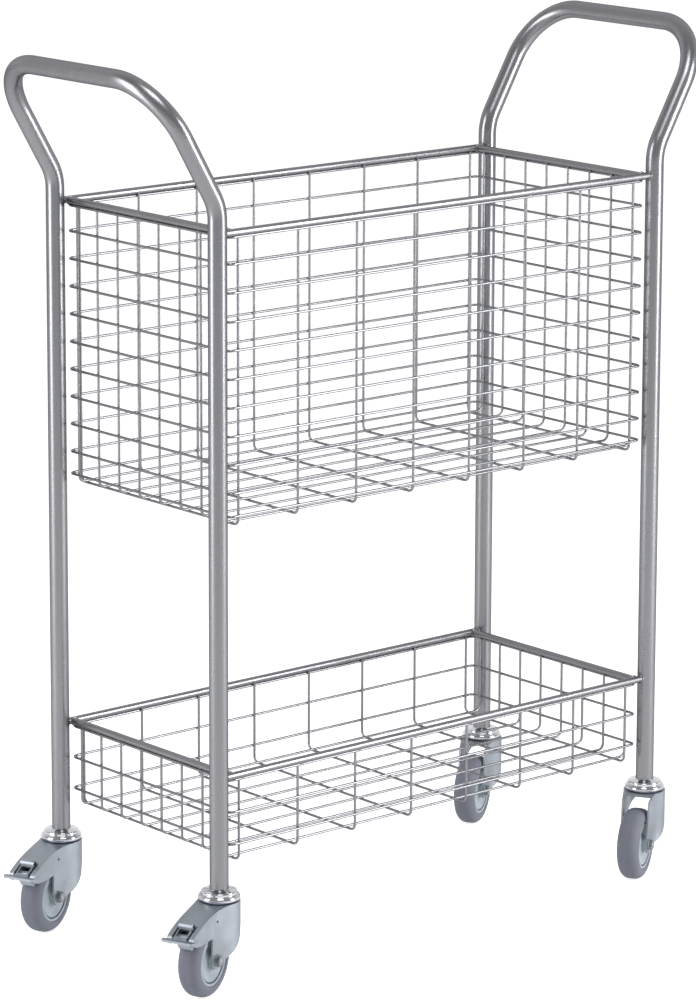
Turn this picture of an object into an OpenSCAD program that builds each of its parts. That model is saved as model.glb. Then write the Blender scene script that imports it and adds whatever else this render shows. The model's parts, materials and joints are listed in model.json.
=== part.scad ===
// Wire basket mail cart: two bent tube end frames carry a deep upper basket and a shallow
// lower basket of welded wire, on four swivel castors, two of them with a foot brake.
// Millimetres, +Z up, floor at z = 0, long side along X, braked castors at -X.

/* [End frames] */
// outer diameter of the bent tube
tube_d = 25.4; // [22:0.1:28]
// wall thickness of the bent tube
tube_wall = 1.6; // [1.2:0.1:2.2]
// distance between the posts along the long side
post_dx = 786; // [700:1:900]
// distance between the posts along the short side
post_dy = 349; // [320:1:400]
// height of the foot of each post
foot_z = 136.5; // [132:0.5:146]
// height at which the posts bend outward
bend_z = 1033; // [1020:1:1060]
// centre-line radius of the outward bend
bend_r = 65; // [50:1:90]
// lean of the handle run from the vertical, degrees
lean = 30.5; // [20:0.5:40]
// length of the leaning run, from the bend to the handle bar centre
lean_run = 174; // [150:1:220]
// centre-line radius of the two handle corners
corner_r = 86; // [60:1:100]

/* [Baskets] */
// diameter of the rim rods
rod_d = 10; // [8:0.5:12]
// height of the upper rim rod centre
upper_rim_z = 1014.5; // [1000:0.5:1025]
// height of the lower rim rod centre
lower_rim_z = 285.5; // [260:0.5:320]
// distance of the short rim rods from the post centres
short_rod_inset = 21; // [18:0.5:26]
// diameter of the basket wires
wire_d = 3.6; // [3:0.1:4.5]
// height of the lowest wires of the upper basket
upper_cross_z = 623.5; // [610:0.5:640]
// height of the lowest wires of the lower basket
lower_cross_z = 165.8; // [160:0.1:180]
// spacing of the wires along the long side
pitch_x = 101.6; // [90:0.1:112]
// spacing of the wires along the short side
pitch_y = 44.45; // [38:0.05:47]
// spacing of the ring wires in the upper basket
ring_pitch_upper = 38.1; // [36:0.1:39]
// spacing of the ring wires in the lower basket
ring_pitch_lower = 44.5; // [36:0.1:46]
// number of wires that cross each basket in each direction
wires_each_way = 8; // [8:1:8]
// centre-line radius where a wire turns from wall to bottom
wire_bend_r = 9; // [6:0.5:12]
// depth of the weld between two crossing wires
weld_bite = 0.3; // [0.1:0.05:0.5]

/* [Castors] */
// wheel diameter
wheel_d = 101.6; // [98:0.1:104]
// tread width
tread_w = 32; // [28:1:33]
// distance of the wheel centre behind the swivel axis
trail = 43.5; // [42:0.5:45]
// outer width of the fork
fork_w = 40; // [38:0.5:44]
// thickness of the fork sheet
sheet = 2.5; // [2:0.1:3]
// top of the fork crown
crown_z = 120; // [118:0.5:122]
// how far the two braked castors are turned, degrees
turn_braked = 23; // [0:1:40]
// how far the two plain castors are turned, degrees
turn_plain = 30; // [0:1:40]
// diameter of the castor stem
stem_d = 11; // [10:0.1:12]
// diameter of the axle bolt
axle_d = 8; // [7.5:0.1:8]

/* [Foot brake] */
// diameter of the pedal pin
pin_d = 5; // [4:0.1:5.5]
// width of the foot lip
lip_w = 49; // [44:1:54]
// how far the foot lip stands behind the swivel axis
lip_end = 118.5; // [117:0.5:120]

/* [Hidden] */

$fn = 40;
SILVER = [0.72, 0.73, 0.75];
ZINC = [0.70, 0.72, 0.75];
CHROME = [0.85, 0.86, 0.88];
RUBBER = [0.36, 0.36, 0.39];
PALE = [0.72, 0.77, 0.82];
DARK = [0.25, 0.25, 0.27];

px = post_dx / 2;
py = post_dy / 2;
tube_r = tube_d / 2;
rod_r = rod_d / 2;
wire_r = wire_d / 2;
rod_y = py;
rod_x = px - short_rod_inset;

// wires that touch: centre distance of two crossing wires
touch = wire_d - weld_bite;
ring_x = rod_x + 1.5;
ring_y = rod_y - 1;
wall_x = ring_x - touch;
wall_y = ring_y - touch;
ring_corner_r = 9;
wire_ends = (wires_each_way - 1) / 2;

rim_bite = 0.1;
rim_to_ring = rod_r + wire_r - rim_bite;
upper_top_ring_z = upper_rim_z - sqrt(rim_to_ring * rim_to_ring - 1);
upper_second_z = upper_rim_z - 42;
upper_rings = [upper_top_ring_z,
    for (k = [0:8]) upper_second_z - k * ring_pitch_upper,
    upper_second_z - 8 * ring_pitch_upper - 31];
upper_long_z = upper_cross_z + touch;

lower_top_ring_z = lower_rim_z - sqrt(rim_to_ring * rim_to_ring - 1);
lower_rings = [lower_top_ring_z, for (k = [0:1]) lower_rim_z - 51 - k * ring_pitch_lower];
lower_long_z = lower_cross_z + touch;

// how much thinner in radius the tube is drawn in a bend, and the lap where bend and straight meet
bend_draw = 0.15;
bend_lap = 0.5;

// castors: position of the four swivel axes and their turn
wheel_r = wheel_d / 2;
half_w = fork_w / 2;
inner_w = fork_w - 2 * sheet;
crown_under = crown_z - sheet;
bush_r = 6;
bore_gap = 0.06;
pin_p = 97;
pin_z = 94;

// radius about the swivel axis to which each fork wraps round at its front
braked_front_r = 28.5;
plain_front_r = 30;

// the plan box of the cart is centred on the origin: it ends at a foot lip at -X and at -Y,
// at a handle bar at +X and at the rounded front of a plain fork at +Y
lip_corner = 5;
lip_out = lip_end - lip_corner;
lip_side = lip_w / 2 - lip_corner;
reach_front = py + sin(turn_braked) * lip_out + cos(turn_braked) * lip_side + lip_corner;
reach_back = py + plain_front_r;
reach_left = px + cos(turn_braked) * lip_out + sin(turn_braked) * lip_side + lip_corner;
reach_right = px + bend_r * (1 - cos(lean)) + lean_run * sin(lean) + tube_r;
origin_x = (reach_left - reach_right) / 2;
origin_y = (reach_front - reach_back) / 2;

function arc_pts(c, r, a0, a1, n) =
    [for (i = [0:n]) c + r * [cos(a0 + (a1 - a0) * i / n), sin(a0 + (a1 - a0) * i / n)]];
function curve_pts(a, b, c, n) =
    [for (i = [0:n]) let (t = i / n) (1 - t) * (1 - t) * a + 2 * t * (1 - t) * b + t * t * c];

module in_frame() {
    translate([origin_x, origin_y, 0]) children();
}

// castor space: +X trails away from the swivel axis, +Y is the nut side of the axle
module at_castor(sx, sy) {
    turn = sx < 0 ? turn_braked : turn_plain;
    in_frame() translate([sx * px, sy * py, 0]) rotate([0, 0, 180 + turn]) children();
}

module at_each_castor() {
    for (sx = [-1, 1], sy = [-1, 1]) at_castor(sx, sy) children();
}

// end frames: one tube from foot to foot, drawn slightly thinner in its bends

// bend in the XZ plane: starts at the origin going up, bends toward +X
module rod_bend(centre_r, angle, r) {
    mirror([1, 0, 0]) translate([-centre_r, 0, 0]) rotate([90, 0, 0])
        rotate_extrude(angle = angle) translate([centre_r, 0]) circle(r = r - bend_draw);
}

// the plane that holds the leaning handle run
module at_lean() {
    translate([px + bend_r, 0, bend_z]) rotate([0, lean, 0]) translate([-bend_r, 0, 0]) children();
}

// solid of radius r along the centre line of an end frame, from below one foot to the other
module frame_run(r, below) {
    straight = lean_run - corner_r;
    half_bar = py - corner_r + bend_lap;
    for (m = [0, 1]) mirror([0, m, 0]) {
        translate([px, -py, foot_z - below]) cylinder(h = bend_z - foot_z + below + bend_lap, r = r);
        translate([px, -py, bend_z]) rod_bend(bend_r, lean, r);
        at_lean() translate([0, -py, 0]) {
            translate([0, 0, -bend_lap]) cylinder(h = straight + 2 * bend_lap, r = r);
            translate([0, 0, straight]) rotate([0, 0, 90]) rod_bend(corner_r, 90, r);
        }
    }
    at_lean() translate([0, -half_bar, lean_run]) rotate([-90, 0, 0]) cylinder(h = 2 * half_bar, r = r);
}

module end_frame() {
    difference() {
        frame_run(tube_r, 0);
        frame_run(tube_r - tube_wall, 1);
    }
}

module end_frame_right() color(SILVER) in_frame() end_frame();
module end_frame_left() color(SILVER) in_frame() mirror([1, 0, 0]) end_frame();

// rim rods

module long_rods(z) {
    for (sy = [-1, 1]) difference() {
        translate([-px + tube_r / 2, sy * rod_y, z]) rotate([0, 90, 0])
            cylinder(h = 2 * px - tube_r, r = rod_r);
        for (sx = [-1, 1]) translate([sx * px, sy * py, z - tube_d]) cylinder(h = 2 * tube_d, r = tube_r);
    }
}

module short_rods(z) {
    for (sx = [-1, 1]) difference() {
        translate([sx * rod_x, -rod_y, z]) rotate([-90, 0, 0]) cylinder(h = 2 * rod_y, r = rod_r);
        for (sy = [-1, 1]) translate([sx * rod_x - rod_d, sy * rod_y, z]) rotate([0, 90, 0])
            cylinder(h = 2 * rod_d, r = rod_r);
    }
}

module upper_long_rods() color(SILVER) in_frame() long_rods(upper_rim_z);
module upper_short_rods() color(SILVER) in_frame() short_rods(upper_rim_z);
module lower_long_rods() color(SILVER) in_frame() long_rods(lower_rim_z);
module lower_short_rods() color(SILVER) in_frame() short_rods(lower_rim_z);

// basket wires

module wire_quarter(r) {
    rotate_extrude(angle = 90) translate([r, 0]) circle(r = wire_r);
}

// one closed ring wire at height z
module ring_wire(z) {
    sx = ring_x - ring_corner_r;
    sy = ring_y - ring_corner_r;
    translate([0, 0, z]) {
        for (q = [0:3]) {
            qx = q == 0 || q == 3 ? sx : -sx;
            qy = q < 2 ? sy : -sy;
            translate([qx, qy, 0]) rotate([0, 0, 90 * q]) wire_quarter(ring_corner_r);
        }
        for (s = [-1, 1]) {
            translate([-sx, s * ring_y, 0]) rotate([0, 90, 0]) cylinder(h = 2 * sx, r = wire_r);
            translate([s * ring_x, -sy, 0]) rotate([-90, 0, 0]) cylinder(h = 2 * sy, r = wire_r);
        }
    }
}

// one wire down one wall, across the bottom and up the other wall, in the XZ plane
module u_wire(half, z_bottom, z_top) {
    flat = half - wire_bend_r;
    z_bend = z_bottom + wire_bend_r;
    for (s = [-1, 1]) {
        translate([s * half, 0, z_bend]) cylinder(h = z_top - z_bend, r = wire_r);
        translate([s * flat, 0, z_bend]) rotate([90, 0, 0]) rotate([0, 0, s > 0 ? -90 : 180])
            wire_quarter(wire_bend_r);
    }
    translate([-flat, 0, z_bottom]) rotate([0, 90, 0]) cylinder(h = 2 * flat, r = wire_r);
}

module ring_wires(heights) {
    for (z = heights) ring_wire(z);
}

// wires that run from end to end, spaced across the short side
module long_wires(z_bottom, z_top) {
    for (i = [0:wires_each_way - 1]) translate([0, (i - wire_ends) * pitch_y, 0])
        u_wire(wall_x, z_bottom, z_top);
}

// wires that run from front to back, spaced along the long side
module cross_wires(z_bottom, z_top) {
    for (i = [0:wires_each_way - 1]) translate([(i - wire_ends) * pitch_x, 0, 0]) rotate([0, 0, 90])
        u_wire(wall_y, z_bottom, z_top);
}

module upper_ring_wires() color(SILVER) in_frame() ring_wires(upper_rings);
module upper_long_wires() color(SILVER) in_frame() long_wires(upper_long_z, upper_top_ring_z + wire_r);
module upper_cross_wires() color(SILVER) in_frame() cross_wires(upper_cross_z, upper_top_ring_z + wire_r);
module lower_ring_wires() color(SILVER) in_frame() ring_wires(lower_rings);
module lower_long_wires() color(SILVER) in_frame() long_wires(lower_long_z, lower_top_ring_z + wire_r);
module lower_cross_wires() color(SILVER) in_frame() cross_wires(lower_cross_z, lower_top_ring_z + wire_r);

// castor stem, cap and tube insert, all fixed to the post

stem_head_h = 3.4;
stem_head_r = 10;
stem_top = foot_z + 52;
head_gap = 0.1;
insert_h = 46;
insert_rise = 1.5;
insert_r = tube_r - tube_wall;
stem_r = stem_d / 2;

module castor_stem() {
    head_top = crown_under - head_gap;
    translate([0, 0, head_top - stem_head_h]) cylinder(h = 1.2, r1 = stem_head_r - 1.2, r2 = stem_head_r);
    translate([0, 0, head_top - stem_head_h + 1.2]) cylinder(h = stem_head_h - 1.2, r = stem_head_r);
    translate([0, 0, head_top]) cylinder(h = stem_top - head_top - 2, r = stem_r);
    translate([0, 0, stem_top - 2]) cylinder(h = 2, r1 = stem_r, r2 = stem_r - 1.5);
}

module castor_stems() color(ZINC) at_each_castor() castor_stem();

// split sleeve that grips the stem inside the post
module tube_insert() {
    slot_w = 2;
    translate([0, 0, foot_z + insert_rise]) difference() {
        cylinder(h = insert_h, r = insert_r);
        translate([0, 0, -1]) cylinder(h = insert_h + 2, r = stem_r);
        translate([stem_r - 1, -slot_w / 2, 6]) cube([insert_r, slot_w, insert_h]);
    }
}

module tube_inserts() color(DARK) at_each_castor() tube_insert();

// pressed cap over the ball race: a bulged lower band, a narrower upper tier, a closing cone
cap_gap = 0.4;
cap_wall = 1.6;
cap_band_r = 28.5;
cap_tier_r = 24.2;
cap_band_h = 9;
module cap_profile() {
    z0 = crown_z + cap_gap;
    z1 = z0 + cap_band_h;
    bulge = cap_band_h / 2;
    polygon(concat(
        [[cap_band_r - bulge - cap_wall, z0]],
        arc_pts([cap_band_r - bulge, z0 + bulge], bulge, -90, 75, 10),
        arc_pts([cap_tier_r + 0.7, z1 + 0.6], 0.8, -60, -180, 5),
        arc_pts([cap_tier_r - 2.2, foot_z - 4.6], 2.2, 0, 70, 6),
        [[tube_r + 3, foot_z - 1.6], [tube_r + 0.6, foot_z - 0.1], [stem_r, foot_z - 0.1],
         [stem_r, foot_z - 2.4], [cap_tier_r - 4, foot_z - 4.6], [cap_tier_r - 2, z1 - 1],
         [cap_tier_r - 2, z0 + 6.4], [stem_r + 3.2, z0 + 6.4], [stem_r + 3.2, z0 + 4.4],
         [cap_band_r - bulge - cap_wall, z0 + 4.4]]));
}

module castor_caps() color(CHROME) at_each_castor() rotate_extrude($fn = 64) cap_profile();

// ball race between cap and crown
ball_r = 2.35;
ball_ring_r = 17;
ball_count = 14;
module race_balls() {
    for (i = [0:ball_count - 1]) rotate([0, 0, 360 / ball_count * i])
        translate([ball_ring_r, 0, crown_z + ball_r + 0.05]) sphere(r = ball_r, $fn = 20);
}

// castor forks: side outlines as (distance behind the swivel axis, height)

axle_z = wheel_r;
axle_end_r = 12;
hood_start = 20;
hood_r = 190;
hood_slope = 26.5;
slot_start = 84;
tip_r = 7;
hood_bend = [hood_start, crown_z - hood_r];
tip_c = hood_bend + (hood_r - tip_r) * [sin(hood_slope), cos(hood_slope)];
notch_r = 3;

// front edge of both forks, from the axle end up to the skirt under the crown
function leading_edge() = concat(
    curve_pts([36.4, 41.1], [8, 50], [-6, 71], 9),
    curve_pts([-6.9, 72.4], [-10, 92], [-31, 110], 7),
    [[-40, 116]]);

function braked_outline() = concat(
    [[-40, crown_z]],
    arc_pts(hood_bend, hood_r, 90, 90 - hood_slope, 14),
    arc_pts(tip_c, tip_r, 80 - hood_slope, -80, 9),
    curve_pts([100.5, 86], [88, 83.2], [74, 83.8], 5),
    arc_pts([trail + axle_end_r + notch_r, axle_z + 30.8], notch_r, 90, 180, 5),
    arc_pts([trail, axle_z], axle_end_r, 0, -122, 20),
    leading_edge());

function plain_outline() = concat(
    [[-40, crown_z], [31.5, crown_z], [35, 118.3], [42.6, 114], [44.8, 111.8], [45.5, 109]],
    arc_pts([trail, axle_z], axle_end_r, 9, -122, 22),
    leading_edge());

module side_sheet(width) {
    rotate([90, 0, 0]) linear_extrude(height = width, center = true) children();
}

module across(p, z, r, len) {
    translate([p, 0, z]) rotate([90, 0, 0]) cylinder(h = len, r = r, center = true);
}

module fork_holes() {
    across(trail, axle_z, axle_d / 2 + 0.1, fork_w + 2);
    translate([0, 0, crown_under - 1]) cylinder(h = 3 * sheet, r = stem_r + 0.06);
}

// plan of a fork: round about the swivel axis, two straight sides behind it, and hollow
// transitions of radius blend_r between them
plan_top = crown_z + 20;
module fork_plan(front_r, blend_c, blend_r, half) {
    wedge_start = 10;
    wedge_root = half - 2;
    wedge_top = blend_c[1] - blend_r + 4.9;
    union() {
        cylinder(h = plan_top, r = front_r, $fn = 96);
        translate([0, -half, 0]) cube([140, 2 * half, plan_top]);
        for (m = [0, 1]) mirror([0, m, 0]) difference() {
            translate([wedge_start, wedge_root, 0])
                cube([blend_c[0] - wedge_start, wedge_top - wedge_root, plan_top]);
            translate([blend_c[0], blend_c[1], -1]) cylinder(h = plan_top + 2, r = blend_r, $fn = 96);
        }
    }
}

// sheet shell between an outline and the profile of its hollow, both wrapped round the front
module fork_shell(front_r, outline, hollow) {
    blend_r = 30;
    blend_n = half_w + blend_r - 0.3;
    blend_reach = front_r + blend_r - 0.1;
    blend_c = [sqrt(blend_reach * blend_reach - blend_n * blend_n), blend_n];
    difference() {
        intersection() {
            side_sheet(2 * front_r + 10) polygon(outline);
            fork_plan(front_r, blend_c, blend_r, half_w);
        }
        intersection() {
            side_sheet(2 * front_r + 10) polygon(hollow);
            fork_plan(front_r - sheet, blend_c, blend_r + sheet, inner_w / 2);
        }
        fork_holes();
    }
}

// fork of a braked castor: its crown runs on backward as a sloping hood
module braked_fork() {
    under_r = hood_r - sheet;
    slot_half = 13;
    jig_hole = [43, 104.5];
    jig_hole_r = 1.75;
    hood_dir = [cos(hood_slope), -sin(hood_slope)];
    under_end = hood_bend + under_r * [sin(hood_slope), cos(hood_slope)];
    hollow = concat(
        [[-60, crown_under]],
        arc_pts(hood_bend, under_r, 90, 90 - hood_slope, 14),
        [under_end + 60 * hood_dir, [trail + 120, -10], [-60, -10]]);
    difference() {
        fork_shell(braked_front_r, braked_outline(), hollow);
        translate([slot_start, -slot_half, crown_z - 60]) cube([60, 2 * slot_half, 80]);
        across(pin_p, pin_z, pin_d / 2, fork_w + 2);
        across(jig_hole[0], jig_hole[1], jig_hole_r, fork_w + 2);
    }
}

// fork of a plain castor: open above the wheel
module plain_fork() {
    fork_shell(plain_front_r, plain_outline(),
        [[-60, crown_under], [90, crown_under], [90, -10], [-60, -10]]);
}

// axle: bolt head at -n, nut at +n, spacer bush between the cheeks
head_h = 5.3;
nut_h = 5.2;
washer_h = 1.3;
washer_r = 8.5;
hex_flat = 13;
module hex_block(h) {
    linear_extrude(height = h)
        polygon([for (i = [0:5]) hex_flat / 2 / cos(30) * [cos(60 * i), sin(60 * i)]]);
}

module axle_bolt() {
    bolt_end = half_w + washer_h + nut_h + 1;
    translate([trail, 0, axle_z]) rotate([-90, 0, 0]) {
        translate([0, 0, -half_w - head_h]) hex_block(head_h);
        translate([0, 0, -half_w]) cylinder(h = half_w + bolt_end - 0.8, r = axle_d / 2);
        translate([0, 0, bolt_end - 0.8]) cylinder(h = 0.8, r1 = axle_d / 2, r2 = axle_d / 2 - 0.8);
    }
}

module axle_nut() {
    translate([trail, half_w, axle_z]) rotate([-90, 0, 0]) difference() {
        union() {
            cylinder(h = washer_h, r = washer_r);
            translate([0, 0, washer_h]) hex_block(nut_h);
        }
        translate([0, 0, -1]) cylinder(h = washer_h + nut_h + 2, r = axle_d / 2);
    }
}

module axle_bush() {
    translate([trail, 0, axle_z]) rotate([-90, 0, 0]) difference() {
        cylinder(h = inner_w, r = bush_r, center = true);
        cylinder(h = inner_w + 2, r = axle_d / 2 + 0.1, center = true);
    }
}

// wheel: revolved about the axle
tyre_in_r = 35.5;
cover_r = 30;
module on_axle() {
    translate([trail, 0, axle_z]) rotate([-90, 0, 0]) rotate_extrude($fn = 96) children();
}

module wheel_centre() {
    hub_r = 11;
    hub_half = inner_w / 2 - 0.25;
    web_half = 3;
    rim_in_r = 31.8;
    rim_half = 14.6;
    seat_half = 12;
    bore_r = bush_r + bore_gap;
    on_axle() polygon([
        [bore_r, -hub_half], [hub_r, -hub_half], [hub_r, -web_half], [rim_in_r, -web_half],
        [rim_in_r, -rim_half + 0.5], [rim_in_r + 0.6, -rim_half], [tyre_in_r - 0.8, -rim_half],
        [tyre_in_r, -rim_half + 0.8], [tyre_in_r, rim_half - 0.8],
        [tyre_in_r - 0.8, rim_half], [rim_in_r + 0.6, rim_half], [rim_in_r, rim_half - 0.5],
        [rim_in_r, web_half], [hub_r, web_half], [hub_r, hub_half], [bore_r, hub_half]]);
}

// dished cover disc on each side of the web
module wheel_covers() {
    hub_r = 11;
    rim_r = 31.8;
    for (s = [-1, 1]) on_axle() polygon([
        [hub_r, s * 3], [rim_r, s * 3], [rim_r, s * 5.5], [cover_r, s * 7],
        [cover_r, s * 12.6], [cover_r - 1.2, s * 13.4], [cover_r - 3.2, s * 13.2],
        [cover_r - 8, s * 11.2], [hub_r + 6, s * 11], [hub_r + 2, s * 12.6], [hub_r, s * 12.6]]);
}

module tyre() {
    tread_half = tread_w / 2;
    shoulder_r = 12;
    crest_r = 90;
    shoulder_n = tread_half - shoulder_r;
    reach = crest_r - shoulder_r;
    shoulder_c = wheel_r - crest_r + sqrt(reach * reach - shoulder_n * shoulder_n);
    blend = asin(shoulder_n / reach);
    on_axle() polygon(concat(
        [[tyre_in_r, -tread_half + 1.6], [tyre_in_r + 1.6, -tread_half]],
        arc_pts([shoulder_c, -shoulder_n], shoulder_r, -90, -blend, 9),
        [[wheel_r, 0]],
        arc_pts([shoulder_c, shoulder_n], shoulder_r, blend, 90, 9),
        [[tyre_in_r + 1.6, tread_half], [tyre_in_r, tread_half - 1.6]]));
}

// foot brake: a lever on a pin through the fork horns, with a rolled top edge, a raised
// window frame, a foot lip and a shoe that meets the tyre when the lip is pressed down

lever_half = 10;
pin_gap = 0.05;
roll_c = [89.5, 109.5];
roll_r = 4.8;
plate_t = 2;
plate_drop = 2.8;
plate_len = 22.5;
plate_tilt = 26;
module lever_plate() {
    window_start = 5.4;
    window_end = 20;
    window_half = 7.8;
    frame_w = 1.3;
    frame_rise = 1;
    translate([roll_c[0], 0, roll_c[1]]) rotate([0, plate_tilt, 0])
        translate([0, 0, -plate_drop - plate_t / 2]) difference() {
            union() {
                translate([2.2, -lever_half, 0]) cube([plate_len - 2.2, 2 * lever_half, plate_t]);
                translate([window_start - frame_w, -window_half - frame_w, plate_t / 2])
                    cube([window_end - window_start + 2 * frame_w, 2 * (window_half + frame_w),
                        plate_t / 2 + frame_rise]);
            }
            translate([window_start, -window_half, -5])
                cube([window_end - window_start, 2 * window_half, 15]);
        }
}

module brake_pedal() {
    ear_t = 1.8;
    ear_r = 5.2;
    roll_half = 10.4;
    lip_t = 3;
    lip_in = 110;
    lip_z = 93.5;
    shoe_half = 9;
    difference() {
        union() {
            lever_plate();
            translate([roll_c[0], -roll_half, roll_c[1]]) rotate([-90, 0, 0])
                cylinder(h = 2 * roll_half, r = roll_r);
            for (s = [-1, 1]) translate([0, s * (lever_half - ear_t / 2 - 0.3), 0]) side_sheet(ear_t)
                polygon(concat(arc_pts([pin_p, pin_z], ear_r, 150, 300, 10),
                    [[108.4, 94.4], [108.2, 96.9], [91.2, 105.4]]));
            side_sheet(2 * lever_half - 0.4) polygon([[106.8, 95.4], [108.3, lip_z + 0.3],
                [lip_in + 1, lip_z + 0.3], [lip_in + 1, lip_z + lip_t - 0.3],
                [108.7, 97.8], [106.8, 97.8]]);
            translate([0, 0, lip_z]) linear_extrude(height = lip_t) polygon(concat(
                [[lip_in, lip_w / 2], [lip_in, -lip_w / 2]],
                arc_pts([lip_out, -lip_side], lip_corner, -90, 0, 8),
                arc_pts([lip_out, lip_side], lip_corner, 0, 90, 8)));
            side_sheet(2 * shoe_half) polygon([[92, 97.2], [91.2, 92.5], [87.4, 81.4], [88.6, 78.3],
                [92.5, 77.6], [96, 80], [101.4, 88.6], [102.6, 94], [100.6, 98.4], [96.5, 99.8]]);
        }
        translate([roll_c[0], -roll_half - 2, roll_c[1]]) rotate([-90, 0, 0])
            cylinder(h = 2 * roll_half + 4, r = roll_r - 1.8);
        across(pin_p, pin_z, pin_d / 2 + pin_gap, fork_w);
    }
}

module brake_pin() {
    across(pin_p, pin_z, pin_d / 2, fork_w + 0.6);
}

// coil spring on the pin, between the lever and the near cheek
module brake_spring() {
    coil_r = 0.9;
    coils = 3;
    for (i = [0:coils - 1]) translate([pin_p, lever_half + 1.4 + i * 1.85, pin_z]) rotate([-90, 0, 0])
        rotate_extrude() translate([pin_d / 2 + coil_r, 0]) circle(r = coil_r, $fn = 16);
}

module zinc_fork(sx, sy) {
    color(ZINC) at_castor(sx, sy) if (sx < 0) braked_fork(); else plain_fork();
}
module fork_fl() zinc_fork(-1, -1);
module fork_bl() zinc_fork(-1, 1);
module fork_fr() zinc_fork(1, -1);
module fork_br() zinc_fork(1, 1);
module balls_fl() color(CHROME) at_castor(-1, -1) race_balls();
module balls_bl() color(CHROME) at_castor(-1, 1) race_balls();
module balls_fr() color(CHROME) at_castor(1, -1) race_balls();
module balls_br() color(CHROME) at_castor(1, 1) race_balls();
module axle_bolt_fl() color(ZINC) at_castor(-1, -1) axle_bolt();
module axle_bolt_bl() color(ZINC) at_castor(-1, 1) axle_bolt();
module axle_bolt_fr() color(ZINC) at_castor(1, -1) axle_bolt();
module axle_bolt_br() color(ZINC) at_castor(1, 1) axle_bolt();
module axle_nut_fl() color(ZINC) at_castor(-1, -1) axle_nut();
module axle_nut_bl() color(ZINC) at_castor(-1, 1) axle_nut();
module axle_nut_fr() color(ZINC) at_castor(1, -1) axle_nut();
module axle_nut_br() color(ZINC) at_castor(1, 1) axle_nut();
module axle_bush_fl() color(ZINC) at_castor(-1, -1) axle_bush();
module axle_bush_bl() color(ZINC) at_castor(-1, 1) axle_bush();
module axle_bush_fr() color(ZINC) at_castor(1, -1) axle_bush();
module axle_bush_br() color(ZINC) at_castor(1, 1) axle_bush();
module wheel_centre_fl() color(PALE) at_castor(-1, -1) wheel_centre();
module wheel_centre_bl() color(PALE) at_castor(-1, 1) wheel_centre();
module wheel_centre_fr() color(PALE) at_castor(1, -1) wheel_centre();
module wheel_centre_br() color(PALE) at_castor(1, 1) wheel_centre();
module wheel_covers_fl() color(PALE) at_castor(-1, -1) wheel_covers();
module wheel_covers_bl() color(PALE) at_castor(-1, 1) wheel_covers();
module wheel_covers_fr() color(PALE) at_castor(1, -1) wheel_covers();
module wheel_covers_br() color(PALE) at_castor(1, 1) wheel_covers();
module tyre_fl() color(RUBBER) at_castor(-1, -1) tyre();
module tyre_bl() color(RUBBER) at_castor(-1, 1) tyre();
module tyre_fr() color(RUBBER) at_castor(1, -1) tyre();
module tyre_br() color(RUBBER) at_castor(1, 1) tyre();
module brake_pedal_fl() color(ZINC) at_castor(-1, -1) brake_pedal();
module brake_pedal_bl() color(ZINC) at_castor(-1, 1) brake_pedal();
module brake_pin_fl() color(ZINC) at_castor(-1, -1) brake_pin();
module brake_pin_bl() color(ZINC) at_castor(-1, 1) brake_pin();
module brake_spring_fl() color(DARK) at_castor(-1, -1) brake_spring();
module brake_spring_bl() color(DARK) at_castor(-1, 1) brake_spring();

end_frame_left();
end_frame_right();
upper_long_rods();
upper_short_rods();
lower_long_rods();
lower_short_rods();
upper_ring_wires();
upper_cross_wires();
upper_long_wires();
lower_ring_wires();
lower_cross_wires();
lower_long_wires();
tube_inserts();
castor_stems();
castor_caps();
fork_fl();
fork_bl();
fork_fr();
fork_br();
balls_fl();
balls_bl();
balls_fr();
balls_br();
axle_bolt_fl();
axle_bolt_bl();
axle_bolt_fr();
axle_bolt_br();
axle_nut_fl();
axle_nut_bl();
axle_nut_fr();
axle_nut_br();
axle_bush_fl();
axle_bush_bl();
axle_bush_fr();
axle_bush_br();
wheel_centre_fl();
wheel_centre_bl();
wheel_centre_fr();
wheel_centre_br();
wheel_covers_fl();
wheel_covers_bl();
wheel_covers_fr();
wheel_covers_br();
tyre_fl();
tyre_bl();
tyre_fr();
tyre_br();
brake_pedal_fl();
brake_pedal_bl();
brake_pin_fl();
brake_pin_bl();
brake_spring_fl();
brake_spring_bl();
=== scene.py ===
import json
import math

import bmesh
import bpy
from mathutils import Matrix, Vector


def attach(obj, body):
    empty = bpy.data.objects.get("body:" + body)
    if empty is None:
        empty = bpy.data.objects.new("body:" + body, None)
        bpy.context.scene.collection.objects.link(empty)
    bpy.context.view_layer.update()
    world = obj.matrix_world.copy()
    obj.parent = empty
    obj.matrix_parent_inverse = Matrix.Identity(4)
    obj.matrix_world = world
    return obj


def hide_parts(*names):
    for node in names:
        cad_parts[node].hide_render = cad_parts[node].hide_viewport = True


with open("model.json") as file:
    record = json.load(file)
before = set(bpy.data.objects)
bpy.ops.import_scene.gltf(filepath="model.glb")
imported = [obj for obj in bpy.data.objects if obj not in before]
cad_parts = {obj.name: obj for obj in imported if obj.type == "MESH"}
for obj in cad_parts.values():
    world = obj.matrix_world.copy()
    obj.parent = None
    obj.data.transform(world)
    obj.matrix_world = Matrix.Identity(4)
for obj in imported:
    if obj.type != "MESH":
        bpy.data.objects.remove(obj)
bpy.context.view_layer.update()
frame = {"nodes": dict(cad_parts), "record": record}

MM = 0.001
FULL_TURN = 2 * math.pi

# ---- finishes ----
# roughness drifts by swing and colour by tint; edge is the metal's tint at grazing view.
# grain is (pattern scale, depth in metres); scuff is (pattern scale, amount).

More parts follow.
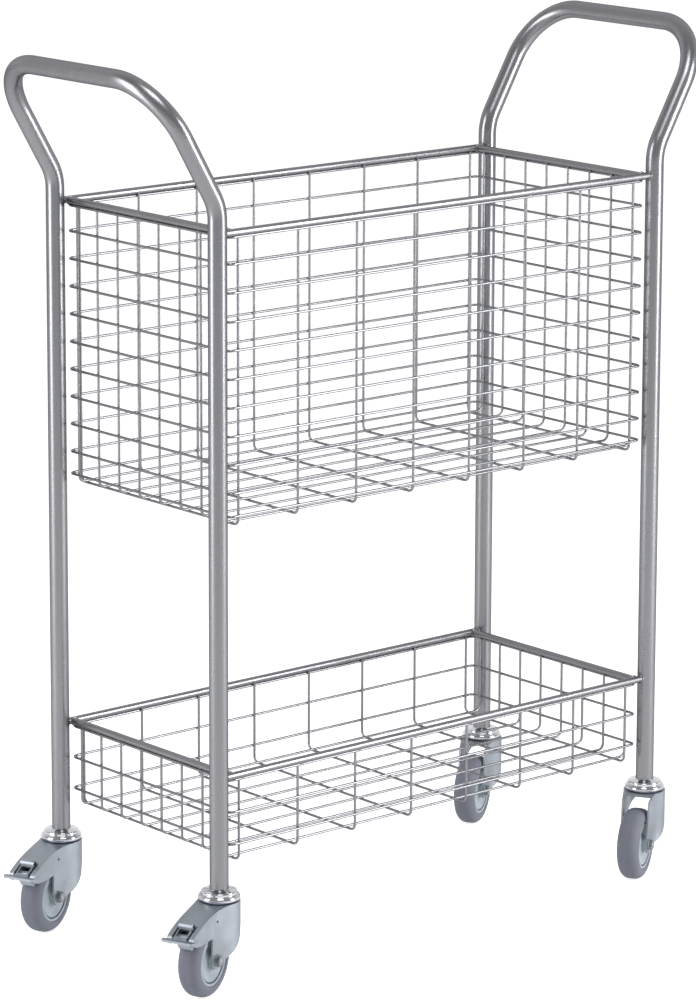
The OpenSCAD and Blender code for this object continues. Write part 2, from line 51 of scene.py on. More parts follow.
FINISHES = {
    "silver_coat": dict(name="silver powder coat", colour=(0.298, 0.300, 0.320), metallic=0.88,
                        roughness=0.27, swing=0.04, tint=0.03, edge=0.4, grain=(1400.0, 0.00003),
                        mottle=9.0, scuff=(45.0, 0.12), scuff_colour=(0.62, 0.63, 0.65)),
    "zinc_plate": dict(name="zinc plate", colour=(0.41, 0.445, 0.49), metallic=1.0,
                       roughness=0.46, swing=0.07, tint=0.10, edge=0.6, grain=(500.0, 0.00002),
                       mottle=35.0, scuff=(120.0, 0.35), scuff_colour=(0.50, 0.53, 0.58)),
    "bright_chrome": dict(name="bright chrome", colour=(0.64, 0.65, 0.68), metallic=1.0,
                          roughness=0.07, swing=0.03, tint=0.02, edge=1.0, grain=(300.0, 0.000005),
                          mottle=25.0, scuff=(150.0, 0.15), scuff_colour=(0.60, 0.61, 0.63)),
    "bearing_steel": dict(name="bearing steel", colour=(0.33, 0.34, 0.36), metallic=1.0,
                          roughness=0.28, swing=0.05, tint=0.05, edge=1.0, grain=(600.0, 0.00001),
                          mottle=60.0, scuff=(150.0, 0.2), scuff_colour=(0.30, 0.30, 0.31)),
    "grey_rubber": dict(name="grey rubber", colour=(0.200, 0.212, 0.260), metallic=0.0,
                        roughness=0.62, swing=0.08, tint=0.08, edge=1.0, grain=(700.0, 0.00006),
                        mottle=22.0, scuff=(70.0, 0.2), scuff_colour=(0.14, 0.13, 0.125)),
    "wheel_plastic": dict(name="wheel plastic", colour=(0.42, 0.475, 0.52), metallic=0.0,
                          roughness=0.36, swing=0.05, tint=0.04, edge=1.0, grain=(500.0, 0.00002),
                          mottle=40.0, scuff=(90.0, 0.2), scuff_colour=(0.35, 0.38, 0.40)),
    "dark_plastic": dict(name="dark plastic", colour=(0.05, 0.05, 0.055), metallic=0.0,
                         roughness=0.5, swing=0.05, tint=0.05, edge=1.0, grain=(500.0, 0.00002),
                         mottle=40.0, scuff=(90.0, 0.1), scuff_colour=(0.08, 0.08, 0.08)),
}
MOTTLE_LOW, MOTTLE_HIGH = 0.3, 0.7  # the part of the mottle noise that is used
SCUFF_ROUGHNESS = 0.25  # how much rougher a full scuff is
SCUFF_TURN, SCUFF_STRETCH = (0.5, 0.9, 0.3), (1.0, 0.12, 1.0)
WORN_PATCH_SCALE = 9.0
STREAK_EDGE, PATCH_EDGE = (0.60, 0.66), (0.52, 0.66)  # noise levels where a mark fades in


def feed(tree, socket, value):
    """Gives a socket a plain value, or links another node's output to it."""
    if isinstance(value, bpy.types.NodeSocket):
        tree.links.new(value, socket)
    else:
        socket.default_value = value


def add_noise(tree, where, scale, detail, rough=0.5):
    noise = tree.nodes.new("ShaderNodeTexNoise")
    feed(tree, noise.inputs["Vector"], where)
    feed(tree, noise.inputs["Scale"], scale)
    noise.inputs["Detail"].default_value = detail
    noise.inputs["Roughness"].default_value = rough
    return noise.outputs["Fac"]


def add_math(tree, operation, first, second, clamp=False):
    node = tree.nodes.new("ShaderNodeMath")
    node.operation = operation
    node.use_clamp = clamp
    feed(tree, node.inputs[0], first)
    feed(tree, node.inputs[1], second)
    return node.outputs[0]


def add_range(tree, value, low, high, to_low, to_high):
    """Maps low..high to to_low..to_high and stops at both ends."""
    node = tree.nodes.new("ShaderNodeMapRange")
    feed(tree, node.inputs["Value"], value)
    feed(tree, node.inputs["From Min"], low)
    feed(tree, node.inputs["From Max"], high)
    feed(tree, node.inputs["To Min"], to_low)
    feed(tree, node.inputs["To Max"], to_high)
    return node.outputs["Result"]


def mix_colour(tree, factor, first, second):
    node = tree.nodes.new("ShaderNodeMix")
    node.data_type = "RGBA"
    feed(tree, node.inputs[0], factor)
    feed(tree, node.inputs[6], first)
    feed(tree, node.inputs[7], second)
    return node.outputs[2]


def new_group(name, inputs, outputs):
    """A shader node group with float inputs {name: default} and named float outputs."""
    group = bpy.data.node_groups.new(name, "ShaderNodeTree")
    for title, default in inputs.items():
        socket = group.interface.new_socket(title, in_out="INPUT", socket_type="NodeSocketFloat")
        socket.default_value = default
    for title in outputs:
        group.interface.new_socket(title, in_out="OUTPUT", socket_type="NodeSocketFloat")
    return group, group.nodes.new("NodeGroupInput"), group.nodes.new("NodeGroupOutput")


def new_grain_group():
    """Fine grain and broad mottling on Object coordinates."""
    group, given, made = new_group(
        "surface grain", {"Grain Scale": 900.0, "Mottle Scale": 14.0}, ("Grain", "Mottle"))
    where = group.nodes.new("ShaderNodeTexCoord").outputs["Object"]
    feed(group, made.inputs["Grain"], add_noise(group, where, given.outputs["Grain Scale"], 2.0))
    feed(group, made.inputs["Mottle"], add_noise(group, where, given.outputs["Mottle Scale"], 4.0, 0.6))
    return group


def new_scuff_group():
    """A mask of thin, broken scuff marks, Amount in a mark and 0 elsewhere."""
    group, given, made = new_group("scuff marks", {"Scale": 60.0, "Amount": 0.2}, ("Mask",))
    where = group.nodes.new("ShaderNodeTexCoord").outputs["Object"]
    stretch = group.nodes.new("ShaderNodeMapping")
    stretch.inputs["Rotation"].default_value = SCUFF_TURN
    stretch.inputs["Scale"].default_value = SCUFF_STRETCH
    feed(group, stretch.inputs["Vector"], where)
    streak = add_noise(group, stretch.outputs["Vector"], given.outputs["Scale"], 5.0, 0.7)
    patch = add_noise(group, where, WORN_PATCH_SCALE, 2.0)
    thin = add_range(group, streak, *STREAK_EDGE, 0.0, 1.0)
    worn = add_range(group, patch, *PATCH_EDGE, 0.0, 1.0)
    mask = add_math(group, "MULTIPLY", thin, worn)
    feed(group, made.inputs["Mask"], add_math(group, "MULTIPLY", mask, given.outputs["Amount"]))
    return group


GRAIN = new_grain_group()
SCUFF = new_scuff_group()


def use_group(tree, group, values):
    node = tree.nodes.new("ShaderNodeGroup")
    node.node_tree = group
    for title, value in values.items():
        node.inputs[title].default_value = value
    return node


def shade(colour, factor):
    return (*(min(1.0, c * factor) for c in colour), 1.0)


def new_finish(name, colour, metallic, roughness, swing, tint, edge, grain, mottle, scuff, scuff_colour):
    """One material: a mottled colour and roughness, fine grain in the bump, and a few scuff marks."""
    material = bpy.data.materials.new(name)
    material.use_nodes = True
    tree = material.node_tree
    shader = tree.nodes["Principled BSDF"]
    shader.inputs["Metallic"].default_value = metallic
    shader.inputs["Specular Tint"].default_value = (edge, edge, edge, 1.0)
    grain_scale, grain_depth = grain
    scuff_scale, scuff_amount = scuff
    surface = use_group(tree, GRAIN, {"Grain Scale": grain_scale, "Mottle Scale": mottle})
    marks = use_group(tree, SCUFF, {"Scale": scuff_scale, "Amount": scuff_amount}).outputs["Mask"]

    drift = add_range(tree, surface.outputs["Mottle"], MOTTLE_LOW, MOTTLE_HIGH, 0.0, 1.0)
    base = mix_colour(tree, drift, shade(colour, 1 - tint), shade(colour, 1 + tint))
    feed(tree, shader.inputs["Base Color"], mix_colour(tree, marks, base, (*scuff_colour, 1.0)))

    rough = add_range(tree, surface.outputs["Mottle"], MOTTLE_LOW, MOTTLE_HIGH,
                      roughness - swing, roughness + swing)
    scuffed = add_math(tree, "MULTIPLY", marks, SCUFF_ROUGHNESS)
    feed(tree, shader.inputs["Roughness"], add_math(tree, "ADD", rough, scuffed, clamp=True))

    bump = tree.nodes.new("ShaderNodeBump")
    bump.inputs["Strength"].default_value = 1.0
    bump.inputs["Distance"].default_value = grain_depth
    feed(tree, bump.inputs["Height"], surface.outputs["Grain"])
    feed(tree, shader.inputs["Normal"], bump.outputs["Normal"])
    return material


finishes = {slot: new_finish(**values) for slot, values in FINISHES.items()}

for part in frame["record"]["subparts"]:
    mesh = frame["nodes"][part["node"]].data
    mesh.materials.clear()
    mesh.materials.append(finishes[part["material_slot"]])

# ---- sizes of the cart, in millimetres from the middle of its baskets, angles in degrees ----

MIDDLE = Vector((3.545, 18.649, 0.0))  # the middle of the baskets in the frame
POST_X, POST_Y = 393.0, 174.5
TUBE_R, ROD_R = 12.7, 5.0
FOOT_Z = 136.5  # where the posts end above the castors
BEND_Z, BEND_R = 1033.0, 65.0  # the outward bends below the handle bars
LEAN, LEAN_RUN, CORNER_R = 30.5, 174.0, 86.0  # the leaning part and the corners of the handle bar
SHORT_ROD_X = 372.0
RING_X, RING_Y = 373.5, 173.5  # centre lines of the level ring wires
WALL_X, WALL_Y = 370.2, 170.2  # centre lines of the upright wires, inside the rings
PITCH_X, PITCH_Y = 101.6, 44.45
WIRE_STEPS = [i - 3.5 for i in range(8)]  # the wires' places, in pitches from the middle
BASKETS = {  # heights of the rim rods, of the rings that cross the upright wires, and of the bottom
    "upper": (1014.5, [972.5 - 38.1 * k for k in range(9)] + [636.7], 625.15),
    "lower": (285.5, [234.5, 190.0], 167.45),
}
SIDES = (-1, 1)


def new_piece(name, shape, slot_name):
    """A finished bmesh in millimetres about the basket middle becomes a piece of the frame body."""
    bmesh.ops.remove_doubles(shape, verts=shape.verts, dist=0.001)
    bmesh.ops.recalc_face_normals(shape, faces=shape.faces)
    bmesh.ops.translate(shape, verts=shape.verts, vec=MIDDLE)
    bmesh.ops.scale(shape, verts=shape.verts, vec=(MM, MM, MM))
    return place_piece(name, shape, "frame", slot_name)


def place_piece(name, shape, body, slot_name):
    mesh = bpy.data.meshes.new(name)
    shape.to_mesh(mesh)
    shape.free()
    for face in mesh.polygons:
        face.use_smooth = True
    mesh.materials.append(finishes[slot_name])
    piece = bpy.data.objects.new(name, mesh)
    bpy.context.scene.collection.objects.link(piece)
    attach(piece, body)
    return piece


# ---- end frames: each one bent tube ----

TUBE_SIDES = 56
BEND_STEPS, CORNER_STEPS = 12, 28
TUBE_SHARP = 50.0


def frame_line(side):
    """The centre line of one end frame as (point, first ring axis, second ring axis), foot to foot."""
    lean = math.radians(LEAN)
    along_y = Vector((0, 1, 0))
    up_slope = Vector((side * math.sin(lean), 0, math.cos(lean)))
    bend_centre = Vector((side * (POST_X + BEND_R), -POST_Y, BEND_Z))

    def across(angle):
        return Vector((side * math.cos(angle), 0, -math.sin(angle)))

    line = [(Vector((side * POST_X, -POST_Y, FOOT_Z)), along_y, across(0.0))]
    for step in range(BEND_STEPS + 1):
        angle = lean * step / BEND_STEPS
        line.append((bend_centre - BEND_R * across(angle), along_y, across(angle)))
    for step in range(CORNER_STEPS + 1):
        turn = math.pi / 2 * step / CORNER_STEPS
        inward = CORNER_R * (1 - math.cos(turn)) * along_y
        run = LEAN_RUN - CORNER_R + CORNER_R * math.sin(turn)
        point = bend_centre - BEND_R * across(lean) + inward + run * up_slope
        line.append((point, math.cos(turn) * along_y - math.sin(turn) * up_slope, across(lean)))
    mirror_y = Vector((1, -1, 1))
    far = [(point * mirror_y, first * mirror_y, second) for point, first, second in reversed(line)]
    return line + far


def ring_place(point, first, second):
    """Where a ring of the tube stands, turned so that both its axes lie in the ring."""
    place = Matrix((first, second, first.cross(second))).transposed().to_4x4()
    place.translation = point
    return place


def add_end_frame(side, name):
    """The bent tube of one end as a single smooth sweep: a ring drawn along the centre line."""
    shape = bmesh.new()
    places = [ring_place(*ring) for ring in frame_line(side)]
    foot = bmesh.ops.create_circle(shape, cap_ends=True, segments=TUBE_SIDES, radius=TUBE_R,
                                   matrix=places[0])
    edges = list({edge for vert in foot["verts"] for edge in vert.link_edges})
    for place, following in zip(places, places[1:]):
        drawn = bmesh.ops.extrude_edge_only(shape, edges=edges)["geom"]
        edges = [part for part in drawn if isinstance(part, bmesh.types.BMEdge) and part.is_boundary]
        ring = [part for part in drawn if isinstance(part, bmesh.types.BMVert)]
        bmesh.ops.transform(shape, verts=ring, matrix=following @ place.inverted())
    bmesh.ops.edgeloop_fill(shape, edges=edges)
    piece = new_piece(name + "_tube", shape, "silver_coat")
    piece.data.set_sharp_from_angle(angle=math.radians(TUBE_SHARP))
    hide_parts(name)


add_end_frame(-1, "end_frame_left")
add_end_frame(1, "end_frame_right")

# ---- welds ----

DROP_WIDE, DROP_THICK = 2.15, 2.0  # half sizes of the drop where two wires cross
CROSS_X, CROSS_Y = (RING_X + WALL_X) / 2, (RING_Y + WALL_Y) / 2
UNDER_ROD = 4.95  # the beads' depth below a rim rod's centre line
# Beads under a rim rod: shift along the rod, shift outwards, half sizes along, out and up.
LONG_RING_BEAD = (3.2, 1.3, (4.2, 1.7, 1.5))
LONG_WIRE_BEAD = (0.5, 1.0, (2.0, 1.6, 2.2))
SHORT_RING_BEAD = (2.6, -1.2, (4.0, 1.7, 1.5))
SHORT_WIRE_BEAD = (0.0, 0.6, (2.0, 1.6, 2.2))
# Beads round a rod's end: how far outside the rod, and the bead's own radius.
POST_BEAD_OUT, POST_BEAD_R = 0.5, 1.25
ROD_BEAD_OUT, ROD_BEAD_R = 0.3, 1.15
ROD_BEAD_LIFT = 0.2
BEAD_SIDES, BEAD_STEPS = 8, 28
RIPPLE, RIPPLES_ROUND = 0.05, 9.0
SADDLE_LIMIT = 40.0  # square of the furthest half width that the saddle bends


def add_drop(shape, at, radii):
    """One drop of weld metal."""
    place = Matrix.Translation(Vector(at)) @ Matrix.Diagonal((*radii, 1.0))
    bmesh.ops.create_icosphere(shape, subdivisions=2, radius=1.0, matrix=place)


def add_crossing_welds(shape, rings, bottom):
    """The drops where upright and level wires cross in the walls and in the bottom of a basket."""
    for height in rings:
        for step in WIRE_STEPS:
            for side in SIDES:
                add_drop(shape, (side * CROSS_X, step * PITCH_Y, height),
                         (DROP_THICK, DROP_WIDE, DROP_WIDE))
                add_drop(shape, (step * PITCH_X, side * CROSS_Y, height),
                         (DROP_WIDE, DROP_THICK, DROP_WIDE))
    for step_x in WIRE_STEPS:
        for step_y in WIRE_STEPS:
            add_drop(shape, (step_x * PITCH_X, step_y * PITCH_Y, bottom),
                     (DROP_WIDE, DROP_WIDE, DROP_THICK))


def add_rim_welds(shape, rim):
    """The short beads that hold the top ring wire and each upright wire under the rim rods."""
    height = rim - UNDER_ROD
    for step in WIRE_STEPS:
        for side in SIDES:
            for (shift, out, (long, wide, tall)), line in ((LONG_RING_BEAD, RING_Y),
                                                           (LONG_WIRE_BEAD, WALL_Y)):
                at = (step * PITCH_X + shift, side * (line + out), height)
                add_drop(shape, at, (long, wide, tall))
            for (shift, out, (long, wide, tall)), line in ((SHORT_RING_BEAD, RING_X),
                                                           (SHORT_WIRE_BEAD, WALL_X)):
                at = (side * (line + out), step * PITCH_Y + shift, height)
                add_drop(shape, at, (wide, long, tall))


def add_ring_weld(shape, at, axis, ring_r, bead_r, saddle_r=0.0):
    """A weld bead round a rod that butts on a tube or rod; saddle_r bends it round that tube."""
    before = set(shape.verts)
    start = Matrix.Translation((ring_r, 0.0, 0.0)) @ Matrix.Rotation(math.pi / 2, 4, "X")
    section = bmesh.ops.create_circle(shape, segments=BEAD_SIDES, radius=bead_r, matrix=start)
    edges = list({edge for vert in section["verts"] for edge in vert.link_edges})
    bmesh.ops.spin(shape, geom=section["verts"] + edges, cent=(0, 0, 0), axis=(0, 0, 1),
                   angle=FULL_TURN, steps=BEAD_STEPS, use_merge=True)
    bead = [vert for vert in shape.verts if vert not in before]
    for vert in bead:
        ripple = 1.0 + RIPPLE * math.sin(RIPPLES_ROUND * math.atan2(vert.co.y, vert.co.x))
        vert.co.x *= ripple
        vert.co.y *= ripple
    turn = Vector((0, 0, 1)).rotation_difference(Vector(axis)).to_matrix().to_4x4()
    bmesh.ops.transform(shape, verts=bead, matrix=turn)
    if saddle_r:
        for vert in bead:
            lean_back = saddle_r - math.sqrt(saddle_r ** 2 - min(vert.co.y ** 2, SADDLE_LIMIT))
            vert.co.x += math.copysign(lean_back, axis[0])
    bmesh.ops.translate(shape, verts=bead, vec=Vector(at))


def add_rod_welds(shape, rim):
    """The beads where rim rods meet the posts and each other."""
    for side_x in SIDES:
        for side_y in SIDES:
            add_ring_weld(shape, (side_x * (POST_X - TUBE_R), side_y * POST_Y, rim), (side_x, 0, 0),
                          ROD_R + POST_BEAD_OUT, POST_BEAD_R, TUBE_R)
            rod_side = POST_Y - ROD_R + ROD_BEAD_LIFT
            add_ring_weld(shape, (side_x * SHORT_ROD_X, side_y * rod_side, rim), (0, side_y, 0),
                          ROD_R + ROD_BEAD_OUT, ROD_BEAD_R)


for level, (rim, rings, bottom) in BASKETS.items():
    crossings = bmesh.new()
    add_crossing_welds(crossings, rings, bottom)
    new_piece(level + "_crossing_welds", crossings, "silver_coat")
    beads = bmesh.new()
    add_rim_welds(beads, rim)
    add_rod_welds(beads, rim)
    new_piece(level + "_rim_welds", beads, "silver_coat")

# ---- race caps ----

CAP_LOW, CAP_BAND = 120.4, 129.4  # heights of the cap's lower edge and of the groove round it
CAP_BULGE = 4.5  # radius of the rounded skirt
CAP_STEPS = 96
CAP_SHARP = 30.0


def arc_points(centre, radius, start, end, steps):
    angles = [math.radians(start + (end - start) * i / steps) for i in range(steps + 1)]
    return [(centre[0] + radius * math.cos(a), centre[1] + radius * math.sin(a)) for a in angles]


def cap_outline():
    """The pressed cap over the ball race as (radius, height), once round."""
    skirt = CAP_LOW + CAP_BULGE
    top = FOOT_Z - 4.6
    return (arc_points((24.0, skirt), CAP_BULGE, -90.0, 75.0, 26)
            + arc_points((24.9, CAP_BAND + 0.6), 0.8, -60.0, -180.0, 10)
            + arc_points((22.0, top), 2.2, 0.0, 70.0, 10)
            + [(15.7, FOOT_Z - 1.6), (13.3, FOOT_Z - 0.1), (5.5, FOOT_Z - 0.1), (5.5, FOOT_Z - 2.4),
               (20.2, top), (22.2, CAP_BAND - 1.0), (22.2, CAP_LOW + 6.4), (8.7, CAP_LOW + 6.4),
               (8.7, skirt - 0.1), (22.4, skirt - 0.1), (22.4, CAP_LOW)])


def add_cap(shape, post_x, post_y):
    """One cap: its outline turned round the post's own axis."""
    points = [shape.verts.new((post_x + radius, post_y, height)) for radius, height in cap_outline()]
    edges = [shape.edges.new(pair) for pair in zip(points, points[1:] + points[:1])]
    bmesh.ops.spin(shape, geom=points + edges, cent=(post_x, post_y, 0), axis=(0, 0, 1),
                   angle=FULL_TURN, steps=CAP_STEPS, use_merge=True)


caps = bmesh.new()
for side_x in SIDES:
    for side_y in SIDES:
        add_cap(caps, side_x * POST_X, side_y * POST_Y)
cap_piece = new_piece("castor_caps_smooth", caps, "bright_chrome")
cap_piece.data.set_sharp_from_angle(angle=math.radians(CAP_SHARP))
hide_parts("castor_caps")

# ---- castor forks, bolts and nuts with rounded edges ----
# A castor is named by its end and side: fl is front left, br is back right. The left ones have brakes.
# Its own millimetres start at the floor under its swivel axis, and +X trails behind that axis.

CASTORS = ("fl", "bl", "fr", "br")
TURN_BRAKED, TURN_PLAIN = 23.0, 30.0  # degrees that the trail is turned from the cart's left
FORK_HALF = 20.0  # half the width between the flat sides' outer faces
BRAKED_FRONT_R, PLAIN_FRONT_R = 28.5, 30.0
BLEND_R, BLEND_BITE, BLEND_LAP = 30.0, 0.3, 0.1  # the hollow between round front and flat side
BULGE_END = 60.0  # how far back the smooth cheek meets the flat side
BULGE_LOW, BULGE_FULL = 46.0, 82.0  # the cheek starts to swell at the first height, full at the second
CHEEK_CUTS = (4, 8, 12, 16, 20, 24, 28, 32, 36, 40, 46, 50, 54, 58)
CHEEK_LEVELS = range(46, 83, 4)
SHEET_REACH = 5.0  # the pressed sheet lies within this distance of the outer face
CLOSE_CUTS = 0.03  # points nearer than this are one
SHADED_TOGETHER = math.cos(math.radians(50.0))
UPRIGHT, LYING = 0.2, 0.885  # how far a normal points up, for a side and for a top
SAME_PLACE = 0.00001  # metres
FLAT_TURN, SHARP_TURN = 0.6, 25.0
EDGE_STEPS, SHOULDER_STEPS = 2, 5
BOLT_EDGE, NUT_EDGE, FORK_EDGE, FORK_SHOULDER = 0.45, 0.35, 0.3, 2.8  # widths of the rounded edges


def castor_place(castor):
    """From a castor's own millimetres to the frame's metres."""
    side_x, side_y = (-1 if castor[1] == "l" else 1), (-1 if castor[0] == "f" else 1)
    turn = 180.0 + (TURN_BRAKED if side_x < 0 else TURN_PLAIN)
    axis = MIDDLE + Vector((side_x * POST_X, side_y * POST_Y, 0.0))
    return Matrix.Scale(MM, 4) @ Matrix.Translation(axis) @ Matrix.Rotation(math.radians(turn), 4, "Z")


def cheek_start(front_r):
    """Where the smooth cheek leaves the round front without a corner, as (distance back, half width)."""
    low, high = 0.0, front_r
    for _ in range(40):
        back = (low + high) / 2
        half = math.sqrt(front_r ** 2 - back ** 2)
        if 2 * (half - FORK_HALF) / (BULGE_END - back) > back / half:
            low = back
        else:
            high = back
    return back, half


def solid_half_width(back, front_r):
    """Half the solid fork's width: round front, hollow blend, flat side."""
    centre_out = FORK_HALF + BLEND_R - BLEND_BITE
    reach = front_r + BLEND_R - BLEND_LAP
    centre_back = math.sqrt(reach ** 2 - centre_out ** 2)
    if back <= centre_back * front_r / reach:
        return math.sqrt(front_r ** 2 - back ** 2)
    if back < centre_back:
        return max(FORK_HALF, centre_out - math.sqrt(BLEND_R ** 2 - (centre_back - back) ** 2))
    return FORK_HALF


def cheek_bulge(back, front_r, start, start_half):
    """How far a smooth fork cheek swells beyond the solid."""
    if not start < back < BULGE_END:
        return 0.0
    fade = (BULGE_END - back) / (BULGE_END - start)
    swell = FORK_HALF + (start_half - FORK_HALF) * fade ** 2
    return max(0.0, swell - solid_half_width(back, front_r))


def smooth_cheeks(shape, castor):
    """Fills the hollow between the round front of a fork and its flat sides with one gentle curve."""
    front_r = BRAKED_FRONT_R if castor[1] == "l" else PLAIN_FRONT_R
    start, start_half = cheek_start(front_r)
    place = castor_place(castor)
    bmesh.ops.transform(shape, verts=shape.verts, matrix=place.inverted())
    for back in CHEEK_CUTS:
        everything = shape.verts[:] + shape.edges[:] + shape.faces[:]
        bmesh.ops.bisect_plane(shape, geom=everything, dist=0.01, plane_co=(back, 0, 0),
                               plane_no=(1, 0, 0))
    for height in CHEEK_LEVELS:
        faces = [f for f in shape.faces if max(v.co.x for v in f.verts) < BULGE_END + 1]
        verts = list({v for f in faces for v in f.verts})
        edges = list({e for f in faces for e in f.edges})
        bmesh.ops.bisect_plane(shape, geom=verts + edges + faces, dist=0.01,
                               plane_co=(0, 0, height), plane_no=(0, 0, 1))
    for vert in shape.verts:
        if abs(vert.co.y) > FORK_HALF - SHEET_REACH:
            rise = min(1.0, max(0.0, (vert.co.z - BULGE_LOW) / (BULGE_FULL - BULGE_LOW)))
            share = rise * rise * (3.0 - 2.0 * rise)
            bulge = share * cheek_bulge(vert.co.x, front_r, start, start_half)
            vert.co.y += math.copysign(bulge, vert.co.y)
    bmesh.ops.remove_doubles(shape, verts=shape.verts, dist=CLOSE_CUTS)
    bmesh.ops.transform(shape, verts=shape.verts, matrix=place)


def is_shoulder(edge):
    """True where the top of a pressed fork turns down into its side."""
    if not edge.is_manifold or not edge.is_convex:
        return False
    less, more = sorted(edge.link_faces, key=lambda face: abs(face.normal.z))
    return abs(less.normal.z) < UPRIGHT and more.normal.z > LYING


def round_edges(shape, edges, width, segments):
    bmesh.ops.bevel(shape, geom=edges, offset=width * MM, offset_type="OFFSET", affect="EDGES",
                    segments=segments, profile=0.5, material=-1, clamp_overlap=True)


def corner_normal(corner):
    """The normal at a face's corner: the faces there that turn little from it, weighed by area."""
    own = corner.face.normal
    total = Vector()
    for face in corner.vert.link_faces:
        if face.normal.dot(own) > SHADED_TOGETHER:
            total += face.normal * face.calc_area()
    return total.normalized() if total.length > 0 else own.copy()


def add_softened(part, castor, slot_name, edge_width):
    """A castor's solid once more, with its doubles merged, flat faces joined and edges rounded."""
    node = part + "_" + castor
    shape = bmesh.new()
    shape.from_mesh(frame["nodes"][node].data)
    bmesh.ops.remove_doubles(shape, verts=shape.verts, dist=SAME_PLACE)
    bmesh.ops.dissolve_limit(shape, angle_limit=math.radians(FLAT_TURN), verts=shape.verts,
                             edges=shape.edges)
    if part == "fork":
        smooth_cheeks(shape, castor)
        round_edges(shape, [e for e in shape.edges if is_shoulder(e)], FORK_SHOULDER, SHOULDER_STEPS)
    sharp = [e for e in shape.edges
             if e.is_manifold and e.calc_face_angle(0.0) > math.radians(SHARP_TURN)]
    round_edges(shape, sharp, edge_width, EDGE_STEPS)
    bmesh.ops.recalc_face_normals(shape, faces=shape.faces)
    shape.normal_update()
    normals = [corner_normal(corner) for face in shape.faces for corner in face.loops]
    piece = place_piece(node + "_softened", shape, "swivel_" + castor, slot_name)
    piece.data.normals_split_custom_set(normals)
    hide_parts(node)


for castor in CASTORS:
    add_softened("axle_bolt", castor, "zinc_plate", BOLT_EDGE)
    add_softened("axle_nut", castor, "bearing_steel", NUT_EDGE)
    add_softened("fork", castor, "zinc_plate", FORK_EDGE)

# ---- studio ----

CAMERA_AT = Vector((-3883.6, -4508.6, 1965.9)) * MM
YAW, PITCH, ROLL = 40.488, 11.176, 0.178
SENSOR, LENS, SHIFT_Y = 36.0, 158.135, -0.15
BEHIND = (0.649, 0.760, 0.0)  # level, away from the camera
FRONT_LEVEL, CEILING_LEVEL = 0.36, 0.85  # how bright the room is in front of the cart and above it
LIGHTING_LEVEL = 0.7  # how much of that lights the cart
FLOOR_SIZE, FLOOR_DROP = 30.0, 0.0005
FLOOR_GREY, FLOOR_SEEN, FLOOR_MIRRORED = 0.84, 0.74, 0.35  # colour, and lifts for camera and mirrors
LAMPS = {  # place, target, size, power in watts
    "left": ((-3.1, 0.9, 1.3), (0.0, 0.0, 0.7), (1.4, 2.6), 54.0),
    "right": ((2.0, -3.0, 1.4), (0.0, 0.0, 0.7), (1.2, 2.6), 88.0),
    "top": ((-0.9, -1.3, 3.4), (0.0, 0.0, 0.6), (1.4, 1.4), 30.0),
}


def add_camera():
    data = bpy.data.cameras.new("camera")
    data.sensor_width = SENSOR
    data.lens = LENS
    data.shift_y = SHIFT_Y
    camera = bpy.data.objects.new("camera", data)
    bpy.context.scene.collection.objects.link(camera)
    camera.location = CAMERA_AT
    turn = Matrix.Rotation(math.radians(-YAW), 4, "Z")
    tilt = Matrix.Rotation(math.radians(90.0 - PITCH), 4, "X")
    roll = Matrix.Rotation(math.radians(ROLL), 4, "Z")
    camera.rotation_euler = (turn @ tilt @ roll).to_euler()
    bpy.context.scene.camera = camera


def new_floor_material():
    """Plain and pale; the camera and mirrors see it a little above its lit colour, so it goes white."""
    material = bpy.data.materials.new("floor")
    material.use_nodes = True
    tree = material.node_tree
    shader = tree.nodes["Principled BSDF"]
    shader.inputs["Base Color"].default_value = (FLOOR_GREY, FLOOR_GREY, FLOOR_GREY, 1.0)
    shader.inputs["Roughness"].default_value = 0.7
    shader.inputs["Emission Color"].default_value = (1.0, 1.0, 1.0, 1.0)
    path = tree.nodes.new("ShaderNodeLightPath")
    mirrored = add_math(tree, "ADD", path.outputs["Is Glossy Ray"], path.outputs["Is Transmission Ray"])
    mirrored = add_math(tree, "MULTIPLY", mirrored, FLOOR_MIRRORED)
    seen = add_math(tree, "MULTIPLY", path.outputs["Is Camera Ray"], FLOOR_SEEN)
    feed(tree, shader.inputs["Emission Strength"], add_math(tree, "ADD", seen, mirrored))
    return material


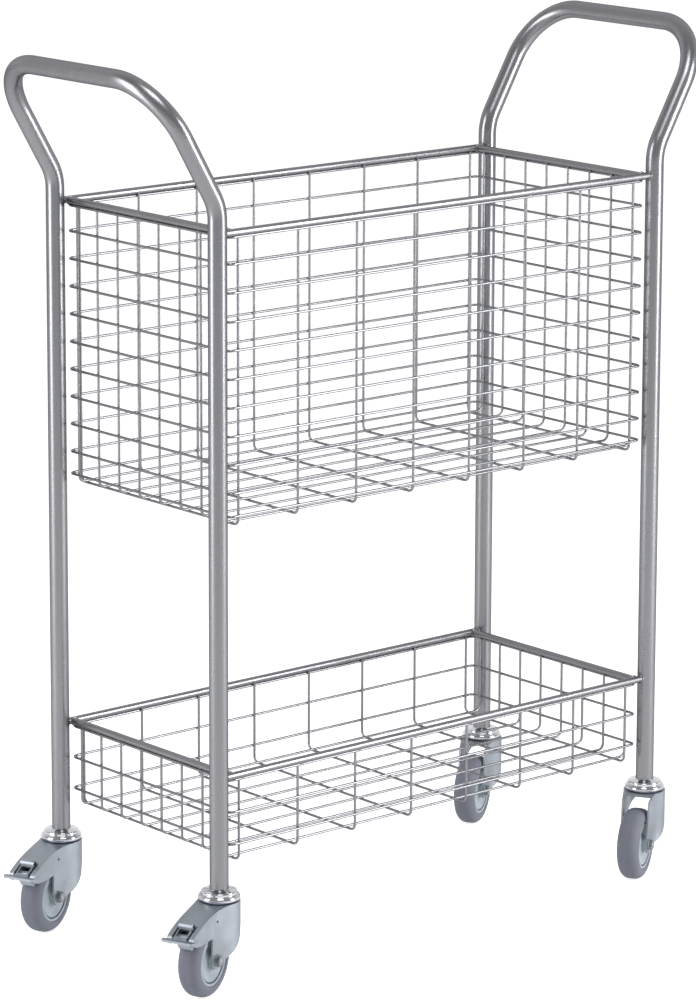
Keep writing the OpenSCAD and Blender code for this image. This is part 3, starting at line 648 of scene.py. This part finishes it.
def add_floor():
    shape = bmesh.new()
    bmesh.ops.create_grid(shape, x_segments=1, y_segments=1, size=FLOOR_SIZE)
    bmesh.ops.translate(shape, verts=shape.verts, vec=(0.0, 0.0, -FLOOR_DROP))
    mesh = bpy.data.meshes.new("floor")
    shape.to_mesh(mesh)
    shape.free()
    mesh.materials.append(new_floor_material())
    floor = bpy.data.objects.new("floor", mesh)
    bpy.context.scene.collection.objects.link(floor)


def along(tree, direction):
    """How far a world direction points along another, -1 to 1."""
    node = tree.nodes.new("ShaderNodeVectorMath")
    node.operation = "DOT_PRODUCT"
    feed(tree, node.inputs[0], tree.nodes.new("ShaderNodeTexCoord").outputs["Generated"])
    node.inputs[1].default_value = direction
    return node.outputs["Value"]


def add_world():
    """White where the camera sees it; what mirrors show and what lights is dimmer in front of the cart."""
    world = bpy.data.worlds.new("studio")
    bpy.context.scene.world = world
    world.use_nodes = True
    tree = world.node_tree
    background = tree.nodes["Background"]
    background.inputs["Color"].default_value = (1.0, 1.0, 1.0, 1.0)
    wall = add_range(tree, along(tree, BEHIND), -0.1, 0.7, FRONT_LEVEL, 1.0)
    ceiling = add_range(tree, along(tree, (0.0, 0.0, 1.0)), 0.2, 0.7, 1.0, CEILING_LEVEL)
    room = add_math(tree, "MULTIPLY", wall, ceiling)
    path = tree.nodes.new("ShaderNodeLightPath")
    seen = add_math(tree, "ADD", path.outputs["Is Camera Ray"], path.outputs["Is Glossy Ray"])
    seen = add_math(tree, "ADD", seen, path.outputs["Is Transmission Ray"], clamp=True)
    lit = add_math(tree, "MULTIPLY", room, add_range(tree, seen, 0.0, 1.0, LIGHTING_LEVEL, 1.0))
    strength = add_range(tree, path.outputs["Is Camera Ray"], 0.0, 1.0, lit, 1.0)
    feed(tree, background.inputs["Strength"], strength)


def add_lamp(name, at, target, size, power):
    data = bpy.data.lights.new(name, "AREA")
    data.shape = "RECTANGLE"
    data.size, data.size_y = size
    data.energy = power
    lamp = bpy.data.objects.new(name, data)
    bpy.context.scene.collection.objects.link(lamp)
    lamp.location = at
    lamp.visible_camera = False
    lamp.rotation_euler = (Vector(target) - Vector(at)).to_track_quat("-Z", "Y").to_euler()


add_camera()
add_floor()
add_world()
for name, values in LAMPS.items():
    add_lamp(name, *values)
bpy.context.scene.view_settings.view_transform = "Standard"
